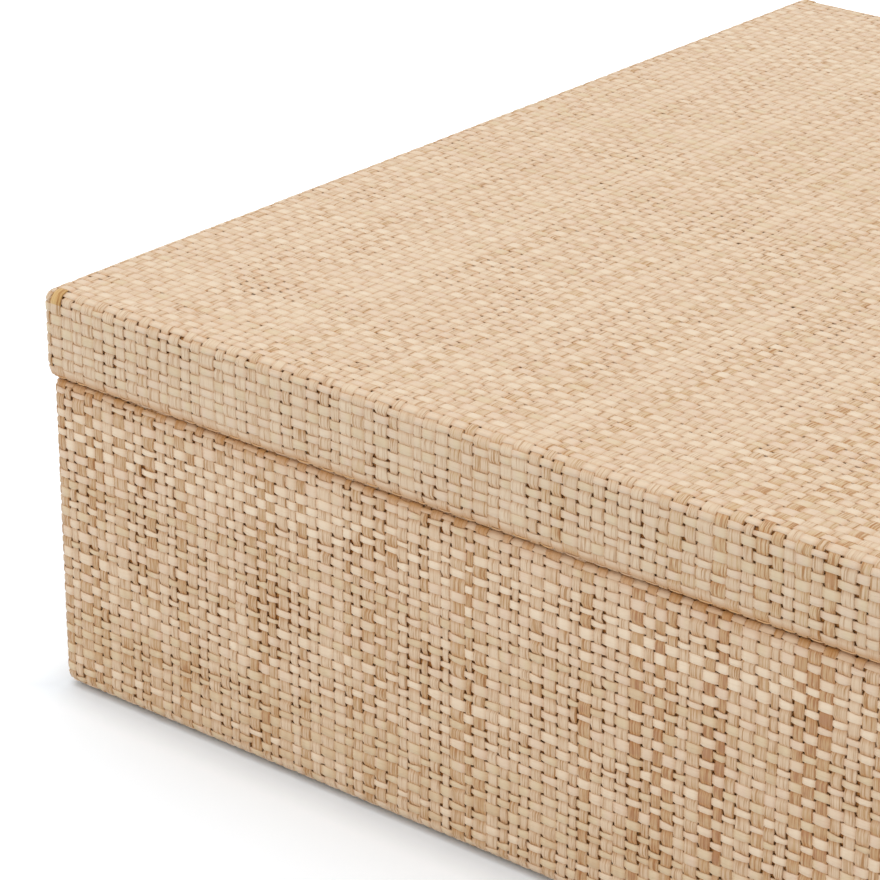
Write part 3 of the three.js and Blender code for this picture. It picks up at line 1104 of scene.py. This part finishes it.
def roundedPanel(name, low, high, material):
    # A box whose points are pulled onto its rounded edges
    radius = liningLook["edgeRadius"]
    stops = [spacedStops(low[k], high[k], radius, liningLook["spacing"]) for k in range(3)]
    points, faces = [], []
    for axis in range(3):
        first, second = [k for k in range(3) if k != axis]
        for level in (low[axis], high[axis]):
            start = len(points)
            for a in stops[first]:
                for b in stops[second]:
                    point = [0.0, 0.0, 0.0]
                    point[axis], point[first], point[second] = level, a, b
                    core = [min(max(point[k], low[k] + radius), high[k] - radius) for k in range(3)]
                    away = Vector(point) - Vector(core)
                    points.append(tuple(Vector(core) + away.normalized() * radius))
            wide = len(stops[second])
            for i in range(len(stops[first]) - 1):
                for j in range(wide - 1):
                    k = start + i * wide + j
                    faces.append((k, k + 1, k + wide + 1, k + wide))
    piece = meshPiece(name, points, faces, material)
    piece.data.shade_smooth()
    return piece


def makeLinings():
    cloths = {
        "front": makeLiningMaterial("liningFront", "X", "Z"),
        "side": makeLiningMaterial("liningSide", "Y", "Z"),
        "flat": makeLiningMaterial("liningFlat", "X", "Y"),
    }
    panels = [
        ("base_front", "front", 0, 2), ("base_back", "front", 0, 2), ("base_left", "side", 1, 2),
        ("base_right", "side", 1, 2), ("base_floor", "flat", 0, 1), ("lid_top", "flat", 0, 1),
    ]
    for node, cloth, first, second in panels:
        low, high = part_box(node + "_lining")
        panel = roundedPanel(node + "_lined_panel", low, high, cloths[cloth])
        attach(panel, node.split("_")[0])
        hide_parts(node + "_lining")
        size = high - low
        cut = [size[k] + 2 * liningLook["turnOver"] for k in (first, second)]


makeLinings()
print("linings made")


# Felt under the base

feltLook = {
    "pale": hue(196, 178, 150),
    "dark": hue(168, 148, 118),
    "cloud": 240.0,
    "fuzz": 2600.0,
    "cornerRadius": 6 * mm,
    "cornerSteps": 8,
    "edgeRadius": 0.6 * mm,
}


def makeFelt():
    material, w = newMaterial("pressedFelt")
    spot = objectSpot(w)
    cloud = noised(w, scaled(w, spot, feltLook["cloud"]), 4.0)
    fuzz = noised(w, scaled(w, spot, feltLook["fuzz"]), 3.0, 0.7)
    mix = cloud * 0.6 + fuzz * 0.5
    colour = ramped(w, mix, [(0.35, feltLook["dark"]), (0.75, feltLook["pale"])])
    surfaced(w, {"Base Color": colour, "Roughness": 1.0, "Normal": bumped(w, fuzz, 0.6, 0.15 * mm)})
    low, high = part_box("base_felt_pad")
    radius, soft = feltLook["cornerRadius"], feltLook["edgeRadius"]
    section = arcPoints((0.0, low.z + soft), soft, 270, 360, 3)
    section += arcPoints((0.0, high.z - soft), soft, 0, 90, 3)
    points = []
    for out, height in section:
        shrink = soft - out
        loop = roundedLoop(high.x - shrink, high.y - shrink, radius - shrink, feltLook["cornerSteps"])
        points += [(x, y, height) for x, y in loop]
    across = len(points) // len(section)
    last = len(section) - 1
    faces = ringFaces(across, [(k, k + 1) for k in range(last)])
    faces.append(list(range(across))[::-1])
    faces.append(list(range(last * across, (last + 1) * across)))
    felt = meshPiece("base_felt_sheet", points, faces, material)
    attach(felt, "base")
    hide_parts("base_felt_pad")


makeFelt()
print("felt made")


# Boards keep their own shapes

boardLook = {
    "pale": hue(190, 154, 110),
    "dark": hue(158, 120, 80),
    "fleck": 1400.0,
    "cloud": 60.0,
    "fleckShare": 0.7,
    "cloudShare": 0.3,
}


def dressBoards():
    material, w = newMaterial("rawFibreboard")
    spot = objectSpot(w)
    fleck = noised(w, scaled(w, spot, boardLook["fleck"]), 4.0)
    cloud = noised(w, scaled(w, spot, boardLook["cloud"]))
    mix = fleck * boardLook["fleckShare"] + cloud * boardLook["cloudShare"]
    colour = ramped(w, mix, [(0.35, boardLook["dark"]), (0.65, boardLook["pale"])])
    surfaced(w, {"Base Color": colour, "Roughness": 0.85, "Normal": bumped(w, fleck, 0.3, 0.1 * mm)})
    for name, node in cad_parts.items():
        if name.endswith(("_board", "_rail")):
            node.data.materials.clear()
            node.data.materials.append(material)


dressBoards()
print("boards dressed")


# Floor, light and background

stageSet = {
    "floorSize": 6.0,
    "floorDrop": 0.1 * mm,  # a hair below the felt
    "floorColour": (0.872, 0.920, 0.968, 1.0),
    "nearGlow": 0.13,  # painted light on the floor just past the contact shadow, to the camera only, which narrows the shadow
    "nearFrom": 1.5 * mm,
    "nearReach": 8 * mm,
    "farGlow": 0.5,
    "farFrom": 60 * mm,
    "farReach": 300 * mm,
    "sky": 0.935,
    "lampPower": 6.2,
    "lampSize": 1.0,
    "lampPlace": (-0.5, -0.22, 1.6),
    "lampAim": (0.0, 0.0, 0.05),
}


def makeStage():
    size = stageSet["floorSize"]
    corners = [(x * size, y * size, -stageSet["floorDrop"]) for x, y in ((-1, -1), (1, -1), (1, 1), (-1, 1))]
    floorMesh = bpy.data.meshes.new("floor")
    floorMesh.from_pydata(corners, [], [(0, 1, 2, 3)])
    material, w = newMaterial("floorPaper")
    spotX, spotY, spare = objectSpot(w).parts()
    away = (abs(spotX) - baseX).atLeast(abs(spotY) - baseY)
    # Painted light: to the camera only, the floor glows from just past the contact, which lightens the box's
    # shadow there; far off it glows to white
    near = ((away - stageSet["nearFrom"]) / stageSet["nearReach"]).atLeast(0.0).atMost(1.0)
    far = ((away - stageSet["farFrom"]) / stageSet["farReach"]).atLeast(0.0).atMost(1.0)
    glow = near * stageSet["nearGlow"] + far * stageSet["farGlow"]
    surfaced(w, {
        "Base Color": stageSet["floorColour"],
        "Roughness": 1.0,
        "Specular IOR Level": 0.0,
        "Emission Color": blended(w, seenDirectly(w) * glow, black, white),
        "Emission Strength": 1.0,
    })
    floorMesh.materials.append(material)
    floor = bpy.data.objects.new("floor", floorMesh)
    scene.collection.objects.link(floor)

    world = bpy.data.worlds.new("studio")
    world.use_nodes = True
    world.node_tree.nodes.clear()
    w = Wire(world.node_tree)
    strength = seenDirectly(w) * (1 - stageSet["sky"]) + stageSet["sky"]
    sky = w.node("ShaderNodeBackground", None, {"Color": white, "Strength": strength})
    w.node("ShaderNodeOutputWorld", None, {"Surface": sky})
    scene.world = world

    lampData = bpy.data.lights.new("softbox", "AREA")
    lampData.shape = "SQUARE"
    lampData.size = stageSet["lampSize"]
    lampData.energy = stageSet["lampPower"]
    lamp = bpy.data.objects.new("softbox", lampData)
    lamp.location = stageSet["lampPlace"]
    lamp.rotation_mode = "QUATERNION"
    towards = Vector(stageSet["lampAim"]) - Vector(stageSet["lampPlace"])
    lamp.rotation_quaternion = towards.to_track_quat("-Z", "Y")
    scene.collection.objects.link(lamp)
    scene.view_settings.view_transform = "Standard"


makeStage()
print("stage set")
